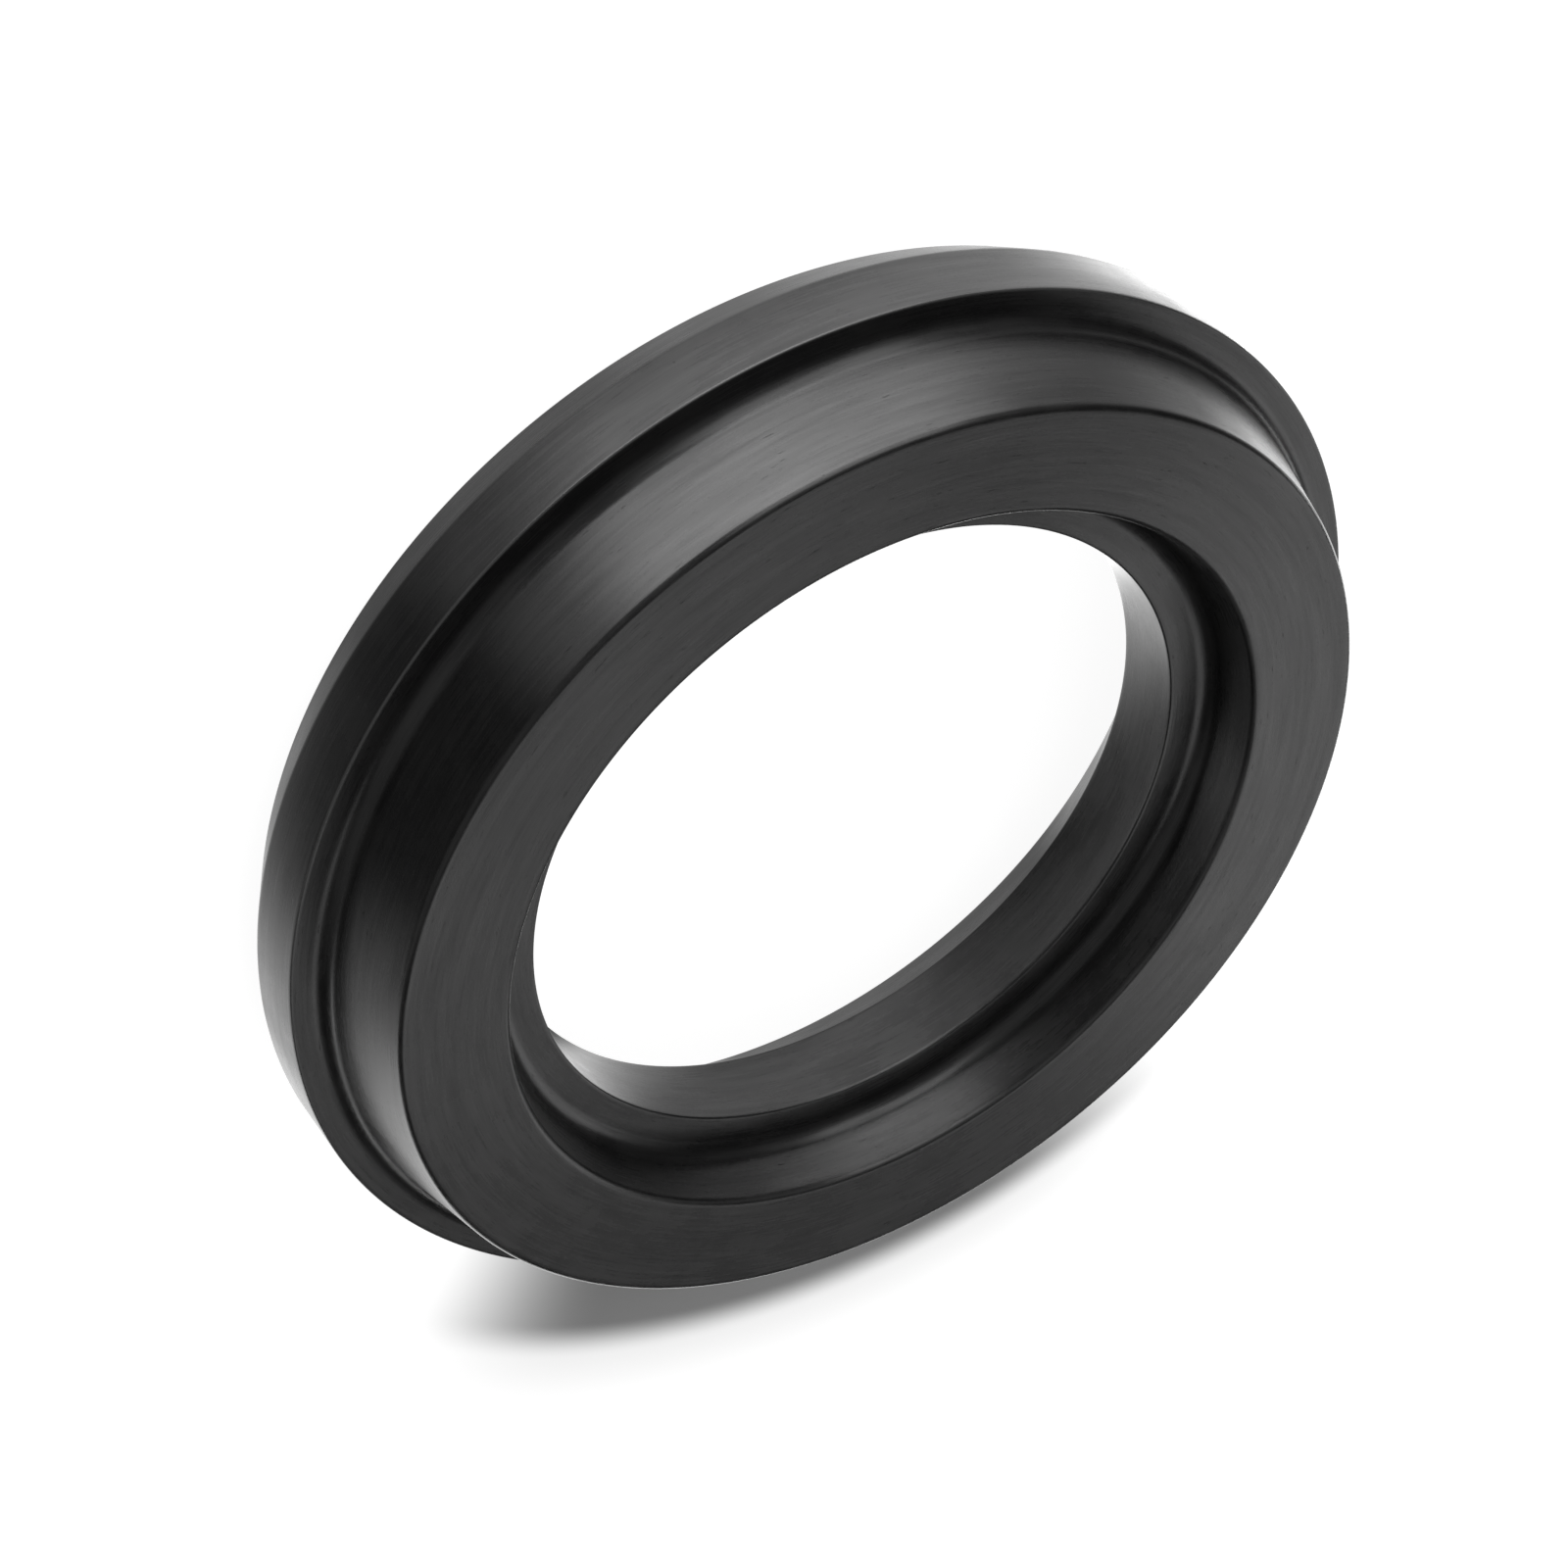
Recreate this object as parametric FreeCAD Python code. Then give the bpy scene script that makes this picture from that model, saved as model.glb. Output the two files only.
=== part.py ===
import FreeCAD, Part
import math
import os
from collections import namedtuple

# Ring joint gasket, turned in one piece from a black elastomer.
# A wide flange ring carries a narrower drafted nose on its front side.
# The nose is the sealing rib: it stands proud of an outer shoulder and of an inner ledge.
# Both edges of the flange's back face are bevelled, and the bore runs through the flange.
# Frame: millimetres, +Z along the ring's axis towards the nose.
# The origin is the centre of the back face, on which the ring lies.

# Overall sizes
ring_height = 14.8
rim_diameter = 77.8
bore_diameter = 47.2

# Nose: its flat front face, the draft of its two flanks, and how far it stands proud
nose_outer_diameter = 70.0
nose_inner_diameter = 54.8
nose_draft_deg = 12.0
shoulder_depth = 7.0
ledge_depth = 4.1

# Bevels of the back face: each has a height along the axis and a width across the face
outer_bevel_height = 3.2
outer_bevel_width = 1.8
inner_bevel_height = 5.3
inner_bevel_width = 5.4

# Radius of the fillets at the two roots of the nose
root_fillet = 1.2

# Edge breaks, measured along each of the two sides that meet at the edge.
# The inner bevel's own two edges are crisp.
nose_edge_break = 0.3
flange_edge_break = 0.15

# A fillet or a break uses at most this share of the shorter side next to its corner
side_share = 0.45

NODE = "gasket_ring"

Corner = namedtuple("Corner", "radius height fillet edge_break", defaults=(0.0, 0.0))


def section_corners():
    """Corners of the half section, anticlockwise from the inner end of the back face."""
    bore_r = bore_diameter / 2
    rim_r = rim_diameter / 2
    nose_outer_r = nose_outer_diameter / 2
    nose_inner_r = nose_inner_diameter / 2
    spread_per_mm = math.tan(math.radians(nose_draft_deg))
    shoulder_z = ring_height - shoulder_depth
    ledge_z = ring_height - ledge_depth
    outer_root_r = nose_outer_r + shoulder_depth * spread_per_mm
    inner_root_r = nose_inner_r - ledge_depth * spread_per_mm
    return [
        Corner(bore_r + inner_bevel_width, 0.0),
        Corner(rim_r - outer_bevel_width, 0.0, edge_break=flange_edge_break),
        Corner(rim_r, outer_bevel_height, edge_break=flange_edge_break),
        Corner(rim_r, shoulder_z, edge_break=flange_edge_break),
        Corner(outer_root_r, shoulder_z, fillet=root_fillet),
        Corner(nose_outer_r, ring_height, edge_break=nose_edge_break),
        Corner(nose_inner_r, ring_height, edge_break=nose_edge_break),
        Corner(inner_root_r, ledge_z, fillet=root_fillet),
        Corner(bore_r, ledge_z, edge_break=flange_edge_break),
        Corner(bore_r, inner_bevel_height),
    ]


def corner_cut(before, point, after, corner):
    """Where one corner's cut starts and ends, and its edges: an arc, a line, or none if crisp."""
    to_before = before - point
    to_after = after - point
    longest_setback = side_share * min(to_before.Length, to_after.Length)
    to_before.normalize()
    to_after.normalize()
    if corner.fillet:
        half_angle = to_before.getAngle(to_after) / 2
        setback = min(corner.fillet / math.tan(half_angle), longest_setback)
        start = point + to_before * setback
        end = point + to_after * setback
        inward = to_before + to_after
        inward.normalize()
        radius = setback * math.tan(half_angle)
        middle = point + inward * (radius / math.sin(half_angle) - radius)
        return start, end, [Part.Arc(start, middle, end).toShape()]
    if corner.edge_break:
        setback = min(corner.edge_break, longest_setback)
        start = point + to_before * setback
        end = point + to_after * setback
        return start, end, [Part.makeLine(start, end)]
    return point, point, []


def half_section(corners):
    """Face of the half section in the XZ plane, with its fillets and edge breaks."""
    points = [FreeCAD.Vector(corner.radius, 0, corner.height) for corner in corners]
    after_points = points[1:] + points[:1]
    cuts = []
    for index, corner in enumerate(corners):
        cuts.append(corner_cut(points[index - 1], points[index], after_points[index], corner))
    outline = []
    for index, (start, end, edges) in enumerate(cuts):
        last_end = cuts[index - 1][1]
        outline.append(Part.makeLine(last_end, start))
        outline.extend(edges)
    return Part.Face(Part.Wire(outline))


def gasket_ring():
    """The whole ring: its half section turned once about the axis."""
    axis_point = FreeCAD.Vector(0, 0, 0)
    axis_direction = FreeCAD.Vector(0, 0, 1)
    return half_section(section_corners()).revolve(axis_point, axis_direction, 360)


os.makedirs("parts", exist_ok=True)
ring = gasket_ring()
ring.exportStep(os.path.join("parts", NODE + ".step"))

box = ring.optimalBoundingBox(False)
print(NODE, "valid", ring.isValid(), "solids", len(ring.Solids), "faces", len(ring.Faces))
print("volume mm3", round(ring.Volume, 1), "bottom mm", round(box.ZMin, 4))
print("box mm", round(box.XLength, 3), round(box.YLength, 3), round(box.ZLength, 3))
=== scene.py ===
"""Studio picture of a ring joint gasket: one stepped ring of satin black rubber.

The ring lies on its bevelled back, its sealing nose upwards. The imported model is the
fixed frame, and the ring here has the same section with finely rounded edges.
All sizes are in metres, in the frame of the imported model: the axis is Z, and the
origin is the centre of the back face.
"""

import logging
import math
from dataclasses import dataclass, field
from enum import Enum

import bmesh
import bpy
from mathutils import Matrix, Vector


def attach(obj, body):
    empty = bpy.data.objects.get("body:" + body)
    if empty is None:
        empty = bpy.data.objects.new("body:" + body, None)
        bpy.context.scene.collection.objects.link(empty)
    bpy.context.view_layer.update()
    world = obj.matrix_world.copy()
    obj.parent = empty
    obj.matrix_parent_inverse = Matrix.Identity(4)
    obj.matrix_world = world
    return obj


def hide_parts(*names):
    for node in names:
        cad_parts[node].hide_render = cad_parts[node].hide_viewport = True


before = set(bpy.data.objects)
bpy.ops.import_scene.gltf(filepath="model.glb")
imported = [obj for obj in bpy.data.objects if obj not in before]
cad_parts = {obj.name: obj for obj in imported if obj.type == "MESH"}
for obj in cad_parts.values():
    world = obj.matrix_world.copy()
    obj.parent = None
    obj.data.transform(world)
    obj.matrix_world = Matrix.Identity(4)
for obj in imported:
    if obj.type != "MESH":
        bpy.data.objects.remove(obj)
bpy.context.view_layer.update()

log = logging.getLogger("gasket")

MM = 0.001
WHITE = (1.0, 1.0, 1.0, 1.0)

# Numbers of the colour sockets of a Mix node
MIX_FIRST = 6
MIX_SECOND = 7
MIX_RESULT = 2

Colour = tuple[float, float, float, float]
Tones = tuple[tuple[float, float], ...]


def deselect_everything() -> None:
    """Leaves object mode with nothing selected."""
    if bpy.context.mode != "OBJECT":
        bpy.ops.object.mode_set(mode="OBJECT")
    bpy.ops.object.select_all(action="DESELECT")


class Value:
    """One output socket of a shader, so that sums on values can be written as expressions."""

    def __init__(self, shader: "Shader", socket: bpy.types.NodeSocket) -> None:
        """Keeps the socket and the shader that its sums are added to."""
        self.shader = shader
        self.socket = socket

    def math(self, operation: str, *others: "Value | float") -> "Value":
        """Result of one Math operation on this value and the others."""
        return self.shader.math(operation, self, *others)

    def __add__(self, other: "Value | float") -> "Value":
        """This value plus another."""
        return self.math("ADD", other)

    def __radd__(self, other: float) -> "Value":
        """A number plus this value."""
        return self.shader.math("ADD", other, self)

    def __sub__(self, other: "Value | float") -> "Value":
        """This value less another."""
        return self.math("SUBTRACT", other)

    def __rsub__(self, other: float) -> "Value":
        """A number less this value."""
        return self.shader.math("SUBTRACT", other, self)

    def __mul__(self, other: "Value | float") -> "Value":
        """This value times another."""
        return self.math("MULTIPLY", other)

    def __rmul__(self, other: float) -> "Value":
        """A number times this value."""
        return self.shader.math("MULTIPLY", other, self)

    def __truediv__(self, other: "Value | float") -> "Value":
        """This value divided by another."""
        return self.math("DIVIDE", other)

    def __pow__(self, other: "Value | float") -> "Value":
        """This value to a power."""
        return self.math("POWER", other)


class Shader:
    """Node tree of one material or world, built one node at a time."""

    def __init__(self, tree: bpy.types.NodeTree) -> None:
        """Empties the tree that the nodes go into."""
        self.tree = tree
        tree.nodes.clear()

    def node(
        self, kind: str, settings: dict | None = None, sockets: dict | None = None
    ) -> bpy.types.Node:
        """Adds one node.

        Args:
            kind: type of the node, such as ShaderNodeMath.
            settings: properties set first; the key stops is a ramp's list of stops.
            sockets: input name or number with its plain value, Value or output socket.

        Returns:
            The new node.
        """
        made = self.tree.nodes.new(kind)
        for name, setting in (settings or {}).items():
            if name == "stops":
                self._set_stops(made.color_ramp, setting)
            else:
                setattr(made, name, setting)
        for name, given in (sockets or {}).items():
            if isinstance(given, Value):
                self.tree.links.new(given.socket, made.inputs[name])
            elif isinstance(given, bpy.types.NodeSocket):
                self.tree.links.new(given, made.inputs[name])
            else:
                made.inputs[name].default_value = given
        return made

    @staticmethod
    def _set_stops(ramp: bpy.types.ColorRamp, stops: list[tuple[float, float]]) -> None:
        """Gives a ramp its stops.

        Args:
            ramp: ramp of a node.
            stops: places and grey levels in rising order.
        """
        while len(ramp.elements) > len(stops):
            ramp.elements.remove(ramp.elements[-1])
        while len(ramp.elements) < len(stops):
            ramp.elements.new(1.0)
        for element, (place, grey) in zip(ramp.elements, stops):
            element.position = place
            element.color = (grey, grey, grey, 1.0)

    def value(
        self,
        kind: str,
        output: str | int,
        settings: dict | None = None,
        sockets: dict | None = None,
    ) -> Value:
        """Adds one node and wraps one of its outputs.

        Args:
            kind: type of the node.
            output: name or number of the output.
            settings: properties set first.
            sockets: input name or number with its value or link.

        Returns:
            The output as a Value.
        """
        return Value(self, self.node(kind, settings, sockets).outputs[output])

    def math(self, operation: str, *terms: "Value | float") -> Value:
        """Result of one Math operation on the terms."""
        sockets = dict(enumerate(terms))
        return self.value("ShaderNodeMath", 0, {"operation": operation}, sockets)

    def ramp(self, factor: Value, stops: list[tuple[float, float]], smooth: bool = True) -> Value:
        """Grey level that a ramp gives a factor.

        Args:
            factor: what the ramp is read at, from 0 to 1.
            stops: places and grey levels in rising order.
            smooth: whether the steps between stops are eased.

        Returns:
            The grey level.
        """
        node = self.node("ShaderNodeValToRGB", {"stops": stops}, {"Fac": factor})
        node.color_ramp.interpolation = "EASE" if smooth else "LINEAR"
        return Value(self, node.outputs["Color"])

    def ease(self, value: Value, start: float, end: float) -> Value:
        """0 up to the start, 1 from the end on, and eased between them.

        Args:
            value: what is read.
            start: where the result leaves 0.
            end: where the result reaches 1.

        Returns:
            The eased value.
        """
        return self.value(
            "ShaderNodeMapRange",
            0,
            {"interpolation_type": "SMOOTHSTEP"},
            {"Value": value, "From Min": start, "From Max": end},
        )

    def mix_colours(
        self, factor: Value, first: "Value | Colour", second: "Value | Colour"
    ) -> Value:
        """Colour between two colours.

        Args:
            factor: 0 gives the first colour and 1 the second.
            first: colour as a Value or four numbers.
            second: colour as a Value or four numbers.

        Returns:
            The mixed colour.
        """
        return self.value(
            "ShaderNodeMix",
            MIX_RESULT,
            {"data_type": "RGBA"},
            {"Factor": factor, MIX_FIRST: first, MIX_SECOND: second},
        )

    def white_glow(self, strength: Value) -> bpy.types.Node:
        """Adds a white glow of this strength."""
        return self.node("ShaderNodeEmission", None, {"Color": WHITE, "Strength": strength})

    def show(self, surface: bpy.types.Node) -> None:
        """Makes this node the surface of the material."""
        self.node("ShaderNodeOutputMaterial", None, {"Surface": surface.outputs[0]})


def blank_material(name: str) -> tuple[bpy.types.Material, Shader]:
    """Adds a material that has no nodes yet.

    Args:
        name: name of the material.

    Returns:
        The material, and the shader that its nodes go into.
    """
    made = bpy.data.materials.new(name)
    made.use_nodes = True
    return made, Shader(made.node_tree)


class Edge(Enum):
    """How an edge or a root of the section is finished."""

    CRISP = "crisp"
    BROKEN = "broken"
    ROUNDED = "rounded"
    FILLET = "fillet"


EDGE_WIDTH = {
    Edge.CRISP: 0.06 * MM,
    Edge.BROKEN: 0.12 * MM,
    Edge.ROUNDED: 0.34 * MM,
}
EDGE_SEGMENTS = {
    Edge.CRISP: 2,
    Edge.BROKEN: 3,
    Edge.ROUNDED: 5,
    Edge.FILLET: 9,
}


@dataclass(frozen=True)
class Corner:
    """One corner of the half section, which the ring turns into an edge or a root."""

    radius: float
    height: float
    edge: Edge


@dataclass(frozen=True)
class Section:
    """Driving sizes of the stepped half section."""

    ring_height: float = 14.8 * MM
    rim_radius: float = 38.9 * MM
    bore_radius: float = 23.6 * MM
    nose_outer_radius: float = 35.0 * MM
    nose_inner_radius: float = 27.4 * MM
    nose_draft: float = math.radians(12.0)
    shoulder_depth: float = 7.0 * MM
    ledge_depth: float = 4.1 * MM
    outer_bevel_height: float = 3.2 * MM
    outer_bevel_width: float = 1.8 * MM
    inner_bevel_height: float = 5.3 * MM
    inner_bevel_width: float = 5.4 * MM
    root_fillet: float = 1.2 * MM

    def corners(self) -> list[Corner]:
        """Corners of the half section.

        Returns:
            The corners from the inner end of the back face, round the rim and over the nose.
        """
        spread = math.tan(self.nose_draft)
        shoulder = self.ring_height - self.shoulder_depth
        ledge = self.ring_height - self.ledge_depth
        outer_root = self.nose_outer_radius + self.shoulder_depth * spread
        inner_root = self.nose_inner_radius - self.ledge_depth * spread
        return [
            Corner(self.bore_radius + self.inner_bevel_width, 0.0, Edge.CRISP),
            Corner(self.rim_radius - self.outer_bevel_width, 0.0, Edge.BROKEN),
            Corner(self.rim_radius, self.outer_bevel_height, Edge.BROKEN),
            Corner(self.rim_radius, shoulder, Edge.BROKEN),
            Corner(outer_root, shoulder, Edge.FILLET),
            Corner(self.nose_outer_radius, self.ring_height, Edge.ROUNDED),
            Corner(self.nose_inner_radius, self.ring_height, Edge.ROUNDED),
            Corner(inner_root, ledge, Edge.FILLET),
            Corner(self.bore_radius, ledge, Edge.BROKEN),
            Corner(self.bore_radius, self.inner_bevel_height, Edge.CRISP),
        ]

    def highlit_worn_corners(self) -> list[tuple[float, float]]:
        """Edges that handling rubs, whose crests also get a painted highlight line: the two of the
        rim and the inner one of the nose.

        Returns:
            The radius and height of each.
        """
        return [
            (self.rim_radius, self.outer_bevel_height),
            (self.rim_radius, self.ring_height - self.shoulder_depth),
            (self.nose_inner_radius, self.ring_height),
        ]

    def setback(self, before: Corner, corner: Corner, after: Corner) -> float:
        """How far a corner's rounding reaches along its two sides.

        Args:
            before: corner in front of this one.
            corner: the corner itself.
            after: corner behind this one.

        Returns:
            The reach, in metres.
        """
        if corner.edge is not Edge.FILLET:
            return EDGE_WIDTH[corner.edge]
        arriving = Vector((corner.radius - before.radius, corner.height - before.height))
        leaving = Vector((after.radius - corner.radius, after.height - corner.height))
        return self.root_fillet * math.tan(arriving.angle(leaving) / 2)


class Place:
    """Place on an object as values of a shader: round the axis, out from it and up it."""

    axis_guard: float = 0.001 * MM

    def __init__(self, shader: Shader) -> None:
        """Reads the object's own coordinates.

        Args:
            shader: tree that the nodes go into.
        """
        self.point = shader.node("ShaderNodeTexCoord").outputs["Object"]
        split = shader.node("ShaderNodeSeparateXYZ", None, {0: self.point})
        self.x = Value(shader, split.outputs["X"])
        self.y = Value(shader, split.outputs["Y"])
        self.height = Value(shader, split.outputs["Z"])
        self.radius = (self.x * self.x + self.y * self.y) ** 0.5
        self.cosine = self.x / (self.radius + self.axis_guard)
        self.sine = self.y / (self.radius + self.axis_guard)


@dataclass(frozen=True)
class Lines:
    """Noise drawn out round the axis, as a turning tool and handling leave it.

    A line begins where the noise is above low and is full where it is above high.
    """

    per_metre: float
    changes_round: float
    low: float
    high: float
    octaves: float = 3.0
    octave_share: float = 0.6

    def strength(self, shader: Shader, place: Place) -> Value:
        """How strong the lines are.

        Args:
            shader: tree that the nodes go into.
            place: place on the ring.

        Returns:
            A value from 0 to 1.
        """
        drawn_out = shader.value(
            "ShaderNodeCombineXYZ",
            0,
            None,
            {
                "X": place.cosine * self.changes_round,
                "Y": place.sine * self.changes_round,
                "Z": place.radius * self.per_metre,
            },
        )
        noise = shader.value(
            "ShaderNodeTexNoise",
            "Fac",
            {"noise_dimensions": "4D"},
            {
                "Vector": drawn_out,
                "W": place.height * self.per_metre,
                "Scale": 1.0,
                "Detail": self.octaves,
                "Roughness": self.octave_share,
            },
        )
        return shader.ramp(noise, [(self.low, 0.0), (self.high, 1.0)], smooth=False)


@dataclass(frozen=True)
class SatinRubber:
    """Black moulded rubber, turned to size: polished lines between dull ones.

    Its gloss is stretched across the lines, as on any face that was turned on a lathe.
    """

    deep_colour: Colour = (0.0022, 0.0022, 0.0025, 1.0)
    worn_colour: Colour = (0.0076, 0.0073, 0.0072, 1.0)
    # Light crest colour of the worn edges: partly wear, partly a painted highlight line.
    rubbed_highlight_colour: Colour = (0.034, 0.034, 0.034, 1.0)
    polished_gloss: float = 0.66
    dull_gloss: float = 0.34
    roughness: float = 0.28
    roughness_spread: float = 0.12
    dull_roughening: float = 0.06
    anisotropy: float = 0.65
    across_lines: float = 0.25
    refraction: float = 1.5

    # Turned lines, from fine to broad, and short scratches
    fine_lines: Lines = Lines(5600.0, 9.0, 0.32, 0.68)
    long_lines: Lines = Lines(1900.0, 4.0, 0.33, 0.67)
    bands: Lines = Lines(420.0, 3.0, 0.28, 0.72)
    scratches: Lines = Lines(7000.0, 26.0, 0.66, 0.76)

    # Part that each of them has in the wear
    fine_share: float = 0.34
    long_share: float = 0.30
    band_share: float = 0.16
    smudge_share: float = 0.20

    # Smudges
    smudges_per_metre: float = 230.0
    smudge_octaves: float = 5.0
    smudge_octave_share: float = 0.62
    smudge_low: float = 0.34
    smudge_high: float = 0.66

    # Pin holes
    pit_cells_per_metre: float = 420.0
    pitted_cells: float = 0.10
    pit_floor: float = 0.025
    pit_rim: float = 0.05

    # Relief, in heights of one line, and how far a mark takes the polish away
    line_height: float = 0.006 * MM
    fine_relief: float = 0.6
    long_relief: float = 0.4
    mark_relief: float = 3.0
    relief_strength: float = 0.5
    mark_dulling: float = 0.75

    # Worn crest of an edge, lighter in colour as a painted highlight line as well as wear, and the
    # share of its reach at full strength
    crest_reach: float = 0.20 * MM
    crest_full_share: float = 0.3

    def material(self, highlit_worn_corners: list[tuple[float, float]]) -> bpy.types.Material:
        """Material with turned lines, smudges, short scratches, a few pits, and worn edges whose
        lighter crests are a painted highlight.

        Args:
            highlit_worn_corners: radius and height of each worn edge that gets a painted highlight
                line.

        Returns:
            The material.
        """
        made, shader = blank_material("satin_black_rubber")
        place = Place(shader)
        fine = self.fine_lines.strength(shader, place)
        long = self.long_lines.strength(shader, place)
        bands = self.bands.strength(shader, place)
        scratches = self.scratches.strength(shader, place)
        smudges = self._smudges(shader, place)
        pits = self._pits(shader, place)
        marks = scratches.math("MAXIMUM", pits)
        wear = (
            fine * self.fine_share
            + long * self.long_share
            + bands * self.band_share
            + smudges * self.smudge_share
        )
        rubbed_highlight = self._rubbed_highlight_mask(shader, place, highlit_worn_corners)
        polish = (wear * (1.0 - marks * self.mark_dulling)).math("MAXIMUM", rubbed_highlight)
        colour = shader.mix_colours(wear, self.deep_colour, self.worn_colour)
        # Painted highlight: the crests of the worn edges take a much lighter colour.
        colour = shader.mix_colours(rubbed_highlight, colour, self.rubbed_highlight_colour)
        unevenness = (smudges + fine) / 2 - 0.5
        roughness = self.roughness + unevenness * self.roughness_spread
        relief = fine * self.fine_relief + long * self.long_relief - marks * self.mark_relief
        bump = shader.node(
            "ShaderNodeBump",
            None,
            {"Strength": self.relief_strength, "Distance": self.line_height, "Height": relief},
        )
        dull = self._rubber(
            shader, colour, roughness + self.dull_roughening, bump, self.dull_gloss
        )
        polished = self._rubber(shader, colour, roughness, bump, self.polished_gloss)
        both = shader.node(
            "ShaderNodeMixShader", None, {0: polish, 1: dull.outputs[0], 2: polished.outputs[0]}
        )
        shader.show(both)
        return made

    def _rubber(
        self, shader: Shader, colour: Value, roughness: Value, bump: bpy.types.Node, gloss: float
    ) -> bpy.types.Node:
        """One of the two rubbers, which differ in how much they reflect.

        Args:
            shader: tree that the nodes go into.
            colour: colour of the rubber.
            roughness: roughness of its surface.
            bump: node that raises the lines.
            gloss: specular level.

        Returns:
            The rubber's shader node.
        """
        return shader.node(
            "ShaderNodeBsdfPrincipled",
            None,
            {
                "Base Color": colour,
                "Roughness": roughness,
                "IOR": self.refraction,
                "Specular IOR Level": gloss,
                "Anisotropic": self.anisotropy,
                "Anisotropic Rotation": self.across_lines,
                "Normal": bump.outputs["Normal"],
            },
        )

    def _smudges(self, shader: Shader, place: Place) -> Value:
        """Cloudy marks of handling.

        Args:
            shader: tree that the nodes go into.
            place: place on the ring.

        Returns:
            A value from 0 to 1.
        """
        noise = shader.value(
            "ShaderNodeTexNoise",
            "Fac",
            {"noise_dimensions": "3D"},
            {
                "Vector": place.point,
                "Scale": self.smudges_per_metre,
                "Detail": self.smudge_octaves,
                "Roughness": self.smudge_octave_share,
            },
        )
        return shader.ramp(noise, [(self.smudge_low, 0.0), (self.smudge_high, 1.0)])

    def _rubbed_highlight_mask(
        self, shader: Shader, place: Place, highlit_worn_corners: list[tuple[float, float]]
    ) -> Value:
        """Mask of wear and painted highlight: 1 on the crest of a worn edge and 0 away from it.

        Args:
            shader: tree that the nodes go into.
            place: place on the ring.
            highlit_worn_corners: radius and height of each worn edge with a painted highlight
                line.

        Returns:
            A value from 0 to 1.
        """
        full_crest = self.crest_reach * self.crest_full_share
        rubbed_highlight = None
        for radius, height in highlit_worn_corners:
            out = place.radius - radius
            up = place.height - height
            away = (out * out + up * up) ** 0.5
            crest = 1.0 - shader.ease(away, full_crest, self.crest_reach)
            rubbed_highlight = crest if rubbed_highlight is None else rubbed_highlight.math("MAXIMUM", crest)
        return rubbed_highlight

    def _pits(self, shader: Shader, place: Place) -> Value:
        """Sparse pin holes, which only some cells of a loose pattern have.

        Args:
            shader: tree that the nodes go into.
            place: place on the ring.

        Returns:
            1 in a pin hole and 0 elsewhere.
        """
        cells = shader.node(
            "ShaderNodeTexVoronoi",
            None,
            {"Vector": place.point, "Scale": self.pit_cells_per_metre},
        )
        distance = Value(shader, cells.outputs["Distance"])
        lot = shader.value("ShaderNodeSeparateColor", 0, None, {0: cells.outputs["Color"]})
        chosen = lot.math("LESS_THAN", self.pitted_cells)
        return shader.ramp(distance, [(self.pit_floor, 1.0), (self.pit_rim, 0.0)]) * chosen


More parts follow.
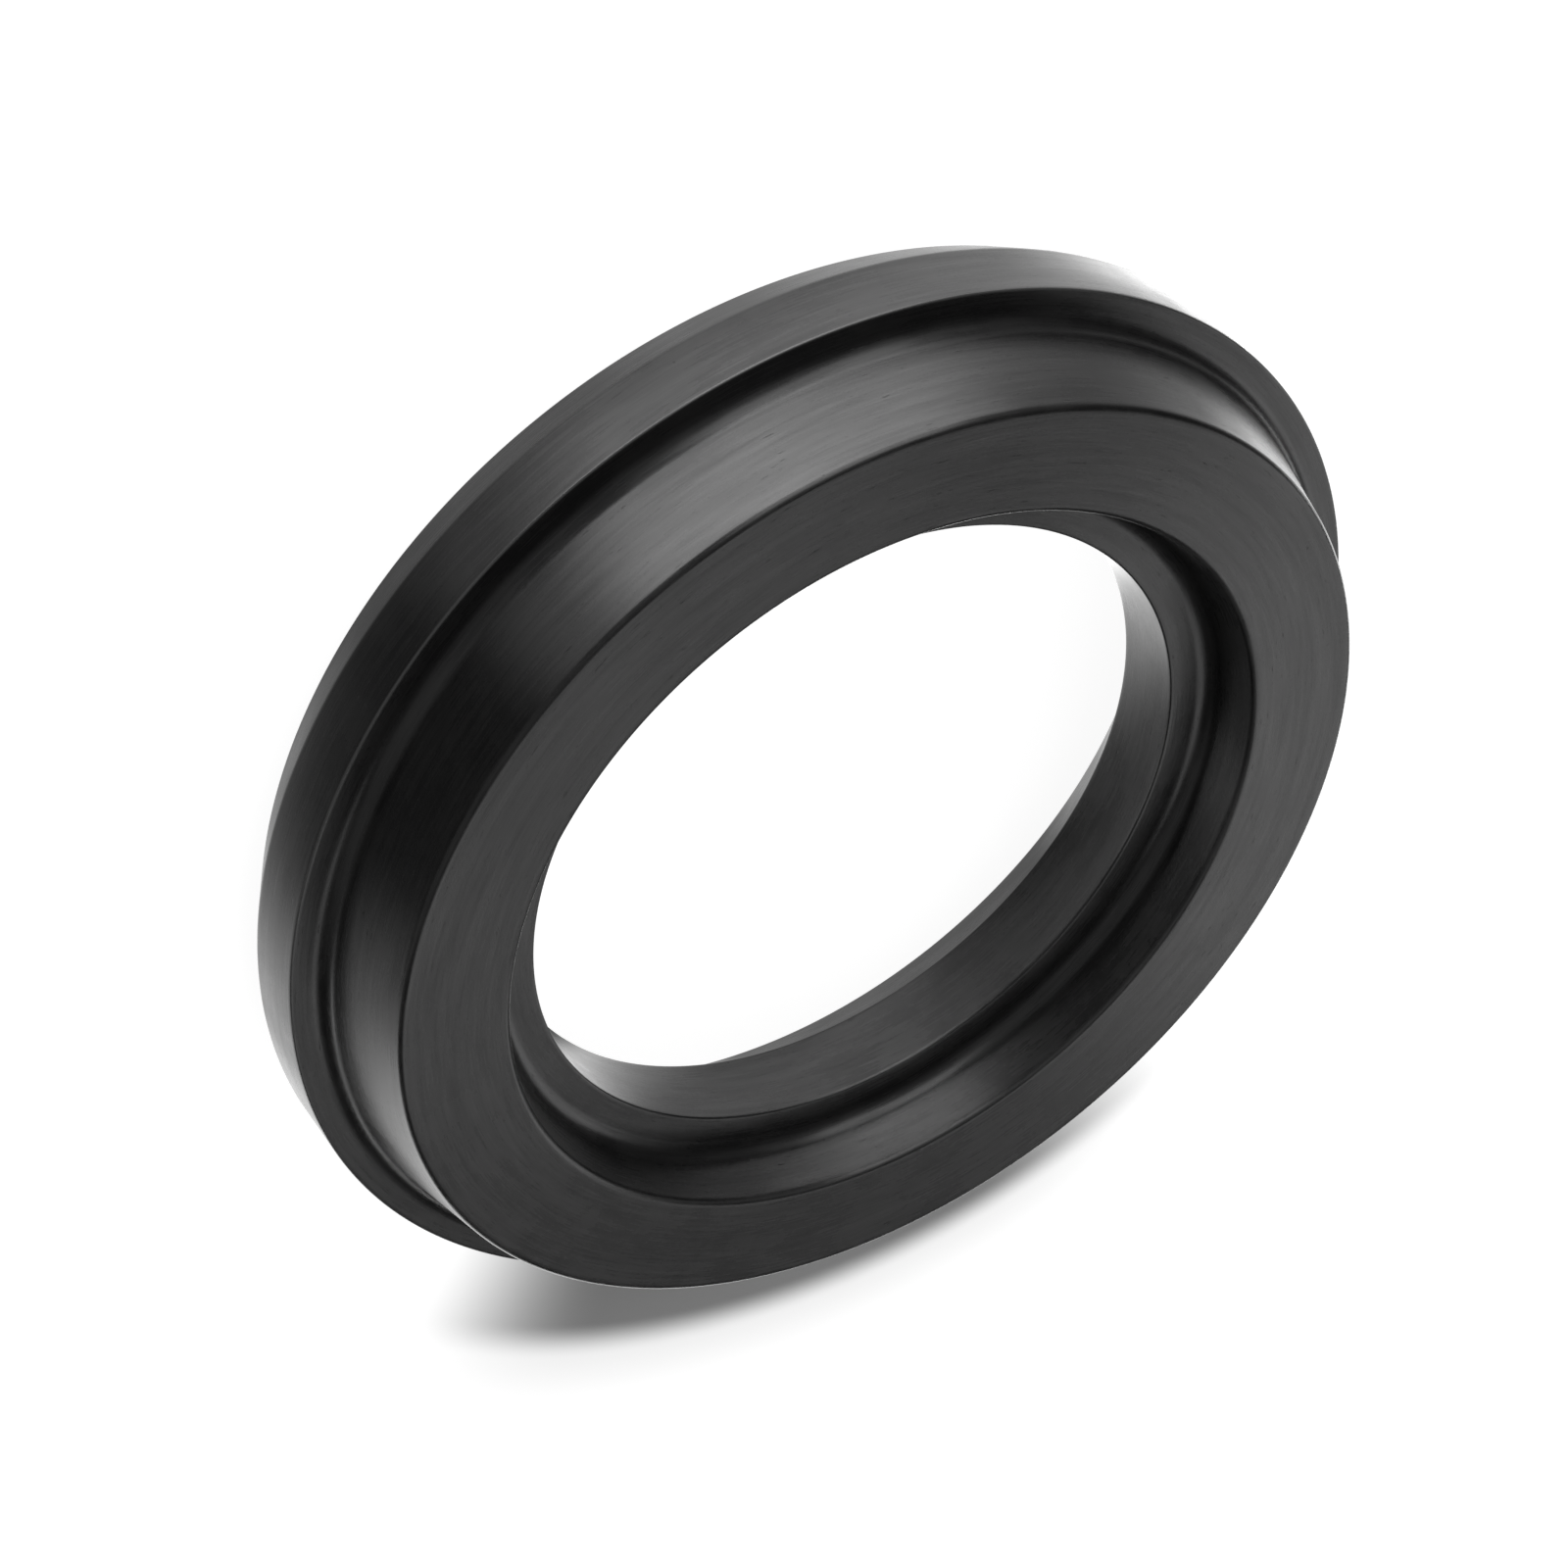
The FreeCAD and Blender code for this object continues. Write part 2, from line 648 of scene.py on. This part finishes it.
@dataclass
class GasketRing:
    """The gasket itself: a flange with a drafted sealing nose, turned in one piece."""

    section: Section = field(default_factory=Section)
    finish: SatinRubber = field(default_factory=SatinRubber)
    name: str = "gasket_ring_skin"
    packed_node: str = "gasket_ring"
    body: str = "root"
    slot: str = "black_rubber"
    steps_round: int = 480
    holding_gap: float = 0.16 * MM
    loop_tolerance: float = 0.01 * MM
    merge_distance: float = 0.002 * MM
    round_profile: float = 0.5
    crease: float = math.radians(32.0)

    def build(self) -> bpy.types.Object:
        """Draws the section out loop by loop, closes it and rounds its corners.

        Returns:
            The ring.
        """
        corners = self.section.corners()
        setbacks = self._setbacks(corners)
        ring = self._closed_section(self._stations(corners, setbacks))
        self._round_corners(ring, corners, setbacks)
        bpy.ops.mesh.select_all(action="SELECT")
        bpy.ops.mesh.remove_doubles(threshold=self.merge_distance)
        bpy.ops.mesh.normals_make_consistent(inside=False)
        bpy.ops.object.mode_set(mode="OBJECT")
        bpy.ops.object.shade_smooth_by_angle(angle=self.crease)
        return ring

    def dress(self, ring: bpy.types.Object) -> None:
        """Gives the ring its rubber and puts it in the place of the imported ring.

        Args:
            ring: the ring.
        """
        ring.data.materials.append(self.finish.material(self.section.highlit_worn_corners()))
        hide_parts(self.packed_node)
        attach(ring, self.body)

    def _closed_section(self, stations: list[tuple[float, float]]) -> bpy.types.Object:
        """Draws a circle through all the stations and joins the last to the first.

        Args:
            stations: radius and height of every loop.

        Returns:
            The ring with sharp corners, left in edit mode.
        """
        deselect_everything()
        radius, height = stations[0]
        bpy.ops.mesh.primitive_circle_add(
            vertices=self.steps_round, radius=radius, fill_type="NOTHING", location=(0, 0, height)
        )
        ring = bpy.context.object
        ring.name = self.name
        ring.data.name = self.name
        bpy.ops.object.transform_apply(location=True, rotation=True, scale=True)
        bpy.ops.object.mode_set(mode="EDIT")
        bpy.ops.mesh.select_mode(type="EDGE")
        bpy.ops.mesh.select_all(action="SELECT")
        for next_radius, next_height in stations[1:]:
            self._draw_loop(radius, height, next_radius, next_height)
            radius, height = next_radius, next_height
        self._select_loops(ring, [stations[0], stations[-1]])
        bpy.ops.mesh.bridge_edge_loops()
        return ring

    def _round_corners(
        self, ring: bpy.types.Object, corners: list[Corner], setbacks: list[float]
    ) -> None:
        """Rounds each corner of the section all the way round the ring.

        Args:
            ring: the ring, in edit mode.
            corners: corners of the section.
            setbacks: reach of each corner's rounding.
        """
        for corner, setback in zip(corners, setbacks):
            self._select_loops(ring, [(corner.radius, corner.height)])
            bpy.ops.mesh.bevel(
                offset=setback,
                offset_type="OFFSET",
                segments=EDGE_SEGMENTS[corner.edge],
                profile=self.round_profile,
                affect="EDGES",
                clamp_overlap=True,
            )

    def _setbacks(self, corners: list[Corner]) -> list[float]:
        """Reach of each corner's rounding.

        Args:
            corners: corners of the section.

        Returns:
            The reaches in the order of the corners.
        """
        after_corners = corners[1:] + corners[:1]
        return [
            self.section.setback(corners[index - 1], corner, after_corners[index])
            for index, corner in enumerate(corners)
        ]

    def _stations(
        self, corners: list[Corner], setbacks: list[float]
    ) -> list[tuple[float, float]]:
        """Radius and height of every loop: the corners and a holding loop beside each.

        Args:
            corners: corners of the section.
            setbacks: reach of each corner's rounding.

        Returns:
            The loops in the order in which they are drawn.
        """
        stations = []
        for index, corner in enumerate(corners):
            following = (index + 1) % len(corners)
            start = Vector((corner.radius, corner.height))
            end = Vector((corners[following].radius, corners[following].height))
            along = (end - start).normalized()
            first_hold = start + along * (setbacks[index] + self.holding_gap)
            second_hold = end - along * (setbacks[following] + self.holding_gap)
            for place in (start, first_hold, second_hold):
                stations.append((place.x, place.y))
        return stations

    def _draw_loop(
        self, radius: float, height: float, next_radius: float, next_height: float
    ) -> None:
        """Extrudes the selected loop to its next radius and height.

        Args:
            radius: radius of the selected loop.
            height: its height.
            next_radius: radius of the new loop.
            next_height: height of the new loop.
        """
        bpy.ops.mesh.extrude_region_move(
            TRANSFORM_OT_translate={"value": (0, 0, next_height - height)}
        )
        widening = next_radius / radius
        bpy.ops.transform.resize(
            value=(widening, widening, 1.0), center_override=(0, 0, next_height)
        )

    def _select_loops(
        self, ring: bpy.types.Object, places: list[tuple[float, float]]
    ) -> None:
        """Selects the edges of some loops and nothing else.

        Args:
            ring: the ring, in edit mode.
            places: radius and height of each loop.
        """
        bpy.ops.mesh.select_all(action="DESELECT")
        mesh = bmesh.from_edit_mesh(ring.data)
        for edge in mesh.edges:
            for radius, height in places:
                on_loop = all(
                    abs(math.hypot(vertex.co.x, vertex.co.y) - radius) < self.loop_tolerance
                    and abs(vertex.co.z - height) < self.loop_tolerance
                    for vertex in edge.verts
                )
                if on_loop:
                    edge.select_set(True)
        bmesh.update_edit_mesh(ring.data)


@dataclass
class StudioTable:
    """White light table that the ring lies on, and the white room round it.

    The table's glow is seen and lights nothing. Its paper takes the lamps' real shadows, and the
    glow is turned off in a
    painted shadow: a patch set on one side of the ring, which fades out along its length and has a
    round outer edge.
    """

    half_width: float = 2.0
    cells: int = 8
    drop: float = 0.02 * MM
    paper_colour: Colour = (0.30, 0.30, 0.30, 1.0)
    glow: float = 0.92
    painted_shadow_glow: float = 0.0
    painted_shadow_azimuth: float = 152.0
    painted_shadow_core: float = 16.0
    painted_shadow_spread: float = 37.0
    painted_shadow_centre: Vector = field(default_factory=lambda: Vector((-4.4, 7.3)) * MM)
    hole_radius: float = 33.0 * MM
    core_start: float = 51.0 * MM
    core_end: float = 54.4 * MM
    fringe_end: float = 63.0 * MM
    fringe_share: float = 0.30
    room_strength: float = 0.42

    def build(self) -> bpy.types.Object:
        """Adds the table top.

        Returns:
            The table top, which is no part of the object.
        """
        deselect_everything()
        bpy.ops.mesh.primitive_grid_add(
            x_subdivisions=self.cells,
            y_subdivisions=self.cells,
            size=2 * self.half_width,
            location=(0, 0, -self.drop),
        )
        bpy.ops.object.transform_apply(location=True)
        table = bpy.context.object
        table.name = "table_top"
        table.data.materials.append(self._paper())
        return table

    def light_room(self) -> None:
        """Gives the world a weak white light and a white look."""
        world = bpy.data.worlds.new("white_room")
        bpy.context.scene.world = world
        world.use_nodes = True
        shader = Shader(world.node_tree)
        seen = self._seen(shader)
        strength = self.room_strength + seen * (1.0 - self.room_strength)
        room = shader.node("ShaderNodeBackground", None, {"Color": WHITE, "Strength": strength})
        shader.node("ShaderNodeOutputWorld", None, {"Surface": room.outputs[0]})

    def _paper(self) -> bpy.types.Material:
        """Paper lit from below, except in a painted shadow patch beside the ring, where the glow
        is turned off.

        Returns:
            The material.
        """
        made, shader = blank_material("white_paper")
        paper = shader.node("ShaderNodeBsdfDiffuse", None, {"Color": self.paper_colour})
        # Painted shadow: the seen glow drops in a fixed patch on one side of the ring, whatever
        # the lamps do.
        strength = self.glow + self._painted_shadow_mask(shader) * (self.painted_shadow_glow - self.glow)
        glow = shader.white_glow(self._seen(shader) * strength)
        both = shader.node(
            "ShaderNodeAddShader", None, {0: paper.outputs[0], 1: glow.outputs[0]}
        )
        shader.show(both)
        return made

    def _painted_shadow_mask(self, shader: Shader) -> Value:
        """How deep a place on the table lies in the painted shadow patch beside the ring.

        Args:
            shader: tree that the nodes go into.

        Returns:
            1 in the core of the painted shadow and 0 outside it.
        """
        place = Place(shader)
        facing = direction(self.painted_shadow_azimuth, 0.0)
        towards = place.cosine * facing.x + place.sine * facing.y
        side = shader.ease(
            towards,
            math.cos(math.radians(self.painted_shadow_spread)),
            math.cos(math.radians(self.painted_shadow_core)),
        )
        across = place.x - self.painted_shadow_centre.x
        along = place.y - self.painted_shadow_centre.y
        away = (across * across + along * along) ** 0.5
        past_core = shader.ease(away, self.core_start, self.core_end)
        past_fringe = shader.ease(away, self.core_start, self.fringe_end)
        lit = past_core + (past_fringe - past_core) * self.fringe_share
        return side * (1.0 - lit) * place.radius.math("GREATER_THAN", self.hole_radius)

    @staticmethod
    def _seen(shader: Shader) -> Value:
        """Whether the camera sees a ray's end, straight or in gloss or glass.

        Args:
            shader: tree that the nodes go into.

        Returns:
            1 where it is seen and 0 where it would only give light.
        """
        path = shader.node("ShaderNodeLightPath")
        camera = Value(shader, path.outputs["Is Camera Ray"])
        glossy = Value(shader, path.outputs["Is Glossy Ray"])
        through = Value(shader, path.outputs["Is Transmission Ray"])
        return camera.math("MAXIMUM", glossy).math("MAXIMUM", through)


@dataclass(frozen=True)
class SoftBox:
    """One rectangular lamp, aimed at the middle of the ring.

    Its place is an azimuth and an elevation in degrees and a distance in metres.
    """

    name: str
    azimuth: float
    elevation: float
    distance: float
    width: float
    height: float
    brightness: float

    def build(self, aim: Vector) -> bpy.types.Object:
        """Adds the lamp.

        Args:
            aim: point that the lamp faces.

        Returns:
            The lamp.
        """
        lamp = bpy.data.lights.new(self.name, "AREA")
        lamp.shape = "RECTANGLE"
        lamp.size = self.width
        lamp.size_y = self.height
        watts_per_area = self.brightness * math.pi
        lamp.energy = watts_per_area * self.width * self.height
        holder = bpy.data.objects.new(self.name, lamp)
        bpy.context.scene.collection.objects.link(holder)
        outward = direction(self.azimuth, self.elevation)
        holder.location = aim + outward * self.distance
        holder.rotation_euler = (-outward).to_track_quat("-Z", "Y").to_euler()
        return holder


@dataclass(frozen=True)
class GlossCard:
    """Card of light and dark parts on the table, which only the ring's gloss sees.

    Each tone is an azimuth in degrees and the brightness there. The hole tones lie inside
    the bore and the under tones below the inner bevel. The hem, near and far tones lie
    outside the ring, one beyond the other.
    """

    hole_tones: Tones = (
        (-180.0, 0.7),
        (-170.0, 0.15),
        (-152.0, 0.2),
        (-135.0, 1.4),
        (-115.0, 4.2),
        (-68.0, 8.0),
        (-45.0, 5.8),
        (-22.0, 0.5),
        (0.0, 0.05),
        (112.0, 0.05),
        (122.0, 2.6),
        (137.0, 1.8),
        (152.0, 1.4),
        (172.0, 1.9),
        (180.0, 0.7),
    )
    under_tones: Tones = (
        (-180.0, 0.45),
        (-165.0, 0.4),
        (-150.0, 1.0),
        (-138.0, 1.6),
        (-124.0, 2.0),
        (-112.0, 4.2),
        (-68.0, 8.0),
        (-45.0, 5.8),
        (-22.0, 0.5),
        (0.0, 0.05),
        (112.0, 0.05),
        (122.0, 2.5),
        (134.0, 1.5),
        (146.0, 0.5),
        (180.0, 0.45),
    )
    hem_tones: Tones = (
        (-180.0, 1.0),
        (-135.0, 2.5),
        (-112.0, 6.0),
        (-74.0, 5.4),
        (-52.0, 1.6),
        (-20.0, 0.85),
        (-2.0, 0.55),
        (22.0, 0.35),
        (40.0, 0.75),
        (64.0, 1.8),
        (105.0, 2.3),
        (140.0, 1.0),
        (180.0, 1.0),
    )
    near_tones: Tones = (
        (-180.0, 0.9),
        (-140.0, 1.3),
        (-105.0, 3.4),
        (-90.0, 1.2),
        (-72.0, 0.9),
        (-58.0, 1.8),
        (-8.0, 2.3),
        (9.0, 0.7),
        (22.0, 0.12),
        (50.0, 0.16),
        (70.0, 1.2),
        (110.0, 1.5),
        (150.0, 0.8),
        (180.0, 0.9),
    )
    far_tones: Tones = (
        (-180.0, 3.4),
        (-135.0, 4.6),
        (-118.0, 0.6),
        (-66.0, 0.5),
        (-44.0, 5.3),
        (-24.0, 7.2),
        (-6.0, 6.2),
        (12.0, 1.3),
        (28.0, 0.05),
        (74.0, 0.05),
        (98.0, 2.8),
        (140.0, 2.8),
        (180.0, 3.0),
    )
    full_scale: float = 8.0
    bore_start: float = 16.5 * MM
    bore_end: float = 21.0 * MM
    hole_radius: float = 33.0 * MM
    near_radius: float = 47.0 * MM
    far_radius: float = 71.0 * MM
    hem_start: float = 41.0 * MM
    hem_end: float = 43.5 * MM
    reach: float = 0.42
    steps_round: int = 96
    lift: float = 0.03 * MM

    def build(self) -> bpy.types.Object:
        """Adds the card.

        Returns:
            The card, which is no part of the object.
        """
        deselect_everything()
        bpy.ops.mesh.primitive_circle_add(
            vertices=self.steps_round,
            radius=self.reach,
            fill_type="NGON",
            location=(0, 0, self.lift),
        )
        bpy.ops.object.transform_apply(location=True)
        card = bpy.context.object
        card.name = "gloss_card"
        card.data.materials.append(self._material())
        hide_from_light(card)
        return card

    def _material(self) -> bpy.types.Material:
        """Brightness that changes with the place round the axis and out from it.

        Returns:
            The material.
        """
        made, shader = blank_material("gloss_card")
        place = Place(shader)
        turn = place.x.math("ARCTAN2", place.y * -1.0) / (2 * math.pi) + 0.5
        hole = self._tone(shader, turn, self.hole_tones)
        hem = self._tone(shader, turn, self.hem_tones)
        near = self._tone(shader, turn, self.near_tones)
        far = self._tone(shader, turn, self.far_tones)
        near = hem + (near - hem) * shader.ease(place.radius, self.hem_start, self.hem_end)
        outside = near + (far - near) * shader.ease(
            place.radius, self.near_radius, self.far_radius
        )
        under = self._tone(shader, turn, self.under_tones)
        hole = hole + (under - hole) * shader.ease(place.radius, self.bore_start, self.bore_end)
        beyond_ring = place.radius.math("GREATER_THAN", self.hole_radius)
        tone = hole + (outside - hole) * beyond_ring
        shader.show(shader.white_glow(tone))
        return made

    def _tone(self, shader: Shader, turn: Value, tones: Tones) -> Value:
        """Brightness at a place round the axis.

        Args:
            shader: tree that the nodes go into.
            turn: place round the axis, from 0 to 1.
            tones: azimuths and their brightness, in rising order.

        Returns:
            The brightness.
        """
        stops = [(azimuth / 360.0 + 0.5, tone / self.full_scale) for azimuth, tone in tones]
        return shader.ramp(turn, stops) * self.full_scale


@dataclass(frozen=True)
class DarkTent:
    """Dark dome over the table, a little lighter in front, which only the ring's gloss sees."""

    radius: float = 1.4
    back_tone: float = 0.04
    front_tone: float = 0.34
    turn_start: float = -0.35
    turn_end: float = 0.20
    steps_round: int = 48
    rings: int = 24

    def build(self) -> bpy.types.Object:
        """Adds the tent.

        Returns:
            The tent, which is no part of the object.
        """
        deselect_everything()
        bpy.ops.mesh.primitive_uv_sphere_add(
            segments=self.steps_round, ring_count=self.rings, radius=self.radius
        )
        tent = bpy.context.object
        tent.name = "dark_tent"
        bpy.ops.object.mode_set(mode="EDIT")
        bpy.ops.mesh.select_all(action="SELECT")
        bpy.ops.mesh.bisect(plane_co=(0, 0, 0), plane_no=(0, 0, 1), clear_inner=True)
        bpy.ops.mesh.select_all(action="SELECT")
        bpy.ops.mesh.normals_make_consistent(inside=True)
        bpy.ops.object.mode_set(mode="OBJECT")
        tent.data.materials.append(self._cloth())
        hide_from_light(tent)
        return tent

    def _cloth(self) -> bpy.types.Material:
        """Dim cloth that grows lighter from the back of the tent to its front.

        Returns:
            The material.
        """
        made, shader = blank_material("dark_cloth")
        towards_front = Place(shader).y / -self.radius
        front = shader.ease(towards_front, self.turn_start, self.turn_end)
        shader.show(shader.white_glow(self.back_tone + front * (self.front_tone - self.back_tone)))
        return made


def hide_from_light(card: bpy.types.Object) -> None:
    """Leaves a card to gloss alone: it gives no light, casts no shadow and isn't seen.

    Args:
        card: card or tent of the studio.
    """
    card.visible_camera = False
    card.visible_diffuse = False
    card.visible_transmission = False
    card.visible_shadow = False


def direction(azimuth: float, elevation: float) -> Vector:
    """Unit vector to a place round the ring.

    Args:
        azimuth: degrees round the axis, 0 towards -Y and 90 towards +X.
        elevation: degrees above the table.

    Returns:
        The direction from the middle of the ring.
    """
    turn = math.radians(azimuth)
    rise = math.radians(elevation)
    return Vector(
        (math.sin(turn) * math.cos(rise), -math.cos(turn) * math.cos(rise), math.sin(rise))
    )


@dataclass
class PhotoCamera:
    """Camera at the photograph's viewing angle."""

    place: Vector = field(default_factory=lambda: Vector((0.0, -249.83, 203.51)) * MM)
    aim: Vector = field(default_factory=lambda: Vector((1.678, -13.960, 14.8)) * MM)
    field_of_view: float = math.radians(18.0)
    roll: float = math.radians(139.83)
    nearest: float = 0.01
    farthest: float = 20.0

    def build(self) -> bpy.types.Object:
        """Adds the camera and makes it the scene's own.

        Returns:
            The camera.
        """
        lens = bpy.data.cameras.new("photo_camera")
        lens.sensor_fit = "AUTO"
        lens.angle = self.field_of_view
        lens.clip_start = self.nearest
        lens.clip_end = self.farthest
        camera = bpy.data.objects.new("photo_camera", lens)
        bpy.context.scene.collection.objects.link(camera)
        upright = (self.aim - self.place).to_track_quat("-Z", "Y").to_matrix().to_4x4()
        turned = upright @ Matrix.Rotation(self.roll, 4, "Z")
        camera.matrix_world = Matrix.Translation(self.place) @ turned
        bpy.context.scene.camera = camera
        return camera


@dataclass
class Studio:
    """Table, lamps, card, tent and camera."""

    table: StudioTable = field(default_factory=StudioTable)
    lamps: tuple[SoftBox, ...] = (
        SoftBox("key_lamp", -44.0, 25.0, 0.7, 0.52, 0.62, 2.3),
        SoftBox("side_lamp", 162.0, 50.0, 0.8, 0.50, 0.32, 1.45),
        SoftBox("back_lamp", -159.0, 30.0, 0.8, 0.48, 0.30, 1.6),
    )
    card: GlossCard = field(default_factory=GlossCard)
    tent: DarkTent = field(default_factory=DarkTent)
    camera: PhotoCamera = field(default_factory=PhotoCamera)
    aim: Vector = field(default_factory=lambda: Vector((0, 0, 8)) * MM)

    def build(self) -> None:
        """Adds everything round the ring."""
        added = [self.table.build()]
        self.table.light_room()
        added.extend(lamp.build(self.aim) for lamp in self.lamps)
        added.append(self.card.build())
        added.append(self.tent.build())
        added.append(self.camera.build())
        for item in added:
            log.info("%s", item.name)
        bpy.context.scene.view_settings.view_transform = "Standard"


def main() -> None:
    """Builds the ring and the studio round it."""
    logging.basicConfig(level=logging.INFO, format="%(message)s")
    gasket = GasketRing()
    ring = gasket.build()
    gasket.dress(ring)
    log.info("%s: %d faces", ring.name, len(ring.data.polygons))
    Studio().build()


if __name__ == "__main__":
    main()
